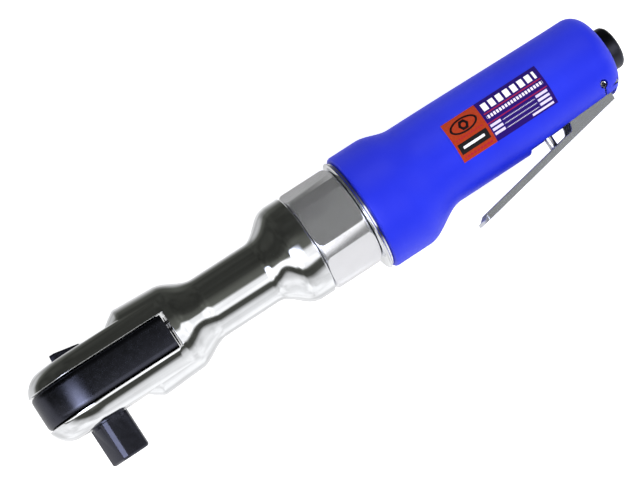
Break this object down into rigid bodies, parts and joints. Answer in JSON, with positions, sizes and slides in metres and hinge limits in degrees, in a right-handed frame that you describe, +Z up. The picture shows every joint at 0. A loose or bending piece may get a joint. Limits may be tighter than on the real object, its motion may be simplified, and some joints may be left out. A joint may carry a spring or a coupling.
{
  "type": "air ratchet wrench",
  "caption": "Inline pneumatic ratchet wrench: reversing square-drive head, hexagonal coupling nut, moulded grip sleeve and squeeze throttle lever.",
  "frame": {"origin": "centre of the square drive's end face", "axes": "+X along the tool axis towards the air inlet, -Y along the drive axis out of the drive's end face, +Z up with the tool lying on its side, labelled side up"},
  "size_m": [0.2595, 0.0536, 0.0432],
  "materials": {
    "polished_steel": "mirror-polished nickel-chrome steel",
    "black_steel": "black oxide, satin with oily highlights",
    "hardened_steel": "ground hardened steel",
    "bronze": "turned bearing bronze",
    "cast_aluminium": "turned and cast aluminium",
    "blue_grip": "smooth moulded blue plastic, semi-gloss",
    "black_rubber": "moulded nitrile rubber",
    "vane_composite": "phenolic laminate",
    "muffler_felt": "pressed felt",
    "label_foil": "printed foil label, satin"
  },
  "bodies": {
    "tool": {"coupling_nut": "polished_steel", "crank_bearing_front": "hardened_steel", "crank_bearing_rear": "hardened_steel", "cylinder": "hardened_steel", "cylinder_pin": "hardened_steel", "exhaust_deflector": "cast_aluminium", "front_bearing": "hardened_steel", "front_end_plate": "cast_aluminium", "gear_spacer": "hardened_steel", "grip_sleeve": "blue_grip", "inlet_bushing": "black_steel", "inlet_screen": "hardened_steel", "label": "label_foil", "lever_pin": "hardened_steel", "motor_housing": "cast_aluminium", "muffler_ring": "muffler_felt", "ratchet_housing": "polished_steel", "rear_bearing": "hardened_steel", "rear_end_plate": "cast_aluminium", "retaining_ring": "hardened_steel", "ring_gear": "hardened_steel", "stem_bushing": "bronze", "stem_o_ring": "black_rubber", "thrust_washer": "bronze", "valve_seat": "hardened_steel", "valve_spring": "hardened_steel"},
    "anvil": {"anvil": "black_steel", "pawl_pin": "hardened_steel", "drive_detent_spring": "hardened_steel"},
    "pawl": {"pawl": "hardened_steel"},
    "reverse": {"reverse_lever": "black_steel", "pawl_plunger": "hardened_steel", "plunger_spring": "hardened_steel"},
    "detent": {"drive_detent_ball": "hardened_steel"},
    "yoke": {"ratchet_yoke": "black_steel"},
    "crank": {"crankshaft": "hardened_steel", "drive_bushing": "bronze", "planet_pin_1": "hardened_steel", "planet_pin_2": "hardened_steel", "planet_pin_3": "hardened_steel"},
    "planet_1": {"planet_gear_1": "hardened_steel"},
    "planet_2": {"planet_gear_2": "hardened_steel"},
    "planet_3": {"planet_gear_3": "hardened_steel"},
    "rotor": {"rotor": "hardened_steel", "vane_1": "vane_composite", "vane_2": "vane_composite", "vane_3": "vane_composite", "vane_4": "vane_composite"},
    "lever": {"throttle_lever": "polished_steel"},
    "stem": {"throttle_stem": "hardened_steel"},
    "valve": {"throttle_valve": "black_rubber"}
  },
  "joints": [
    {"name": "anvil_turn", "type": "hinge", "parent": "tool", "child": "anvil", "pos_m": [0, 0.0305, 0], "axis": [0, -1, 0], "continuous": true},
    {"name": "pawl_rock", "type": "hinge", "parent": "anvil", "child": "pawl", "pos_m": [0.007, 0.0305, 0], "axis": [0, -1, 0], "range_deg": [-12, 0]},
    {"name": "reverse_turn", "type": "hinge", "parent": "anvil", "child": "reverse", "pos_m": [0, 0.0305, 0], "axis": [0, -1, 0], "range_deg": [0, 40]},
    {"name": "detent_push", "type": "slide", "parent": "anvil", "child": "detent", "axis": [-0.866, 0, 0.5], "range_m": [0, 0.0005], "stiffness_N_per_m": 300, "springref_m": -0.001},
    {"name": "yoke_swing", "type": "hinge", "parent": "tool", "child": "yoke", "pos_m": [0, 0.0305, 0], "axis": [0, -1, 0], "range_deg": [-4.5, 4.5]},
    {"name": "crank_turn", "type": "hinge", "parent": "tool", "child": "crank", "pos_m": [0, 0.0305, 0], "axis": [1, 0, 0], "continuous": true},
    {"name": "planet_1_spin", "type": "hinge", "parent": "crank", "child": "planet_1", "pos_m": [0, 0.0377, 0], "axis": [1, 0, 0], "continuous": true},
    {"name": "planet_2_spin", "type": "hinge", "parent": "crank", "child": "planet_2", "pos_m": [0, 0.0269, 0.00624], "axis": [1, 0, 0], "continuous": true},
    {"name": "planet_3_spin", "type": "hinge", "parent": "crank", "child": "planet_3", "pos_m": [0, 0.0269, -0.00624], "axis": [1, 0, 0], "continuous": true},
    {"name": "rotor_turn", "type": "hinge", "parent": "tool", "child": "rotor", "pos_m": [0, 0.0305, 0], "axis": [1, 0, 0], "continuous": true},
    {"name": "throttle_squeeze", "type": "hinge", "parent": "tool", "child": "lever", "pos_m": [0.2238, 0.0195, 0], "axis": [0, 0, -1], "range_deg": [0, 6], "stiffness_Nm_per_rad": 0.5, "springref_deg": -17.19},
    {"name": "stem_slide", "type": "slide", "parent": "tool", "child": "stem", "axis": [0, 1, 0], "range_m": [0, 0.0029]},
    {"name": "valve_tilt", "type": "hinge", "parent": "tool", "child": "valve", "pos_m": [0.2155, 0.0259, 0], "axis": [0, 0, -1], "range_deg": [0, 10.5]}
  ],
  "couplings": [
    {"joint": "pawl_rock", "follows": "reverse_turn", "ratio": -0.3},
    {"joint": "rotor_turn", "follows": "crank_turn", "ratio": 4},
    {"joint": "planet_1_spin", "follows": "crank_turn", "ratio": -3},
    {"joint": "planet_2_spin", "follows": "crank_turn", "ratio": -3},
    {"joint": "planet_3_spin", "follows": "crank_turn", "ratio": -3},
    {"joint": "stem_slide", "follows": "throttle_squeeze", "m_per_rad": 0.02722},
    {"joint": "valve_tilt", "follows": "throttle_squeeze", "ratio": 1.519}
  ]
}
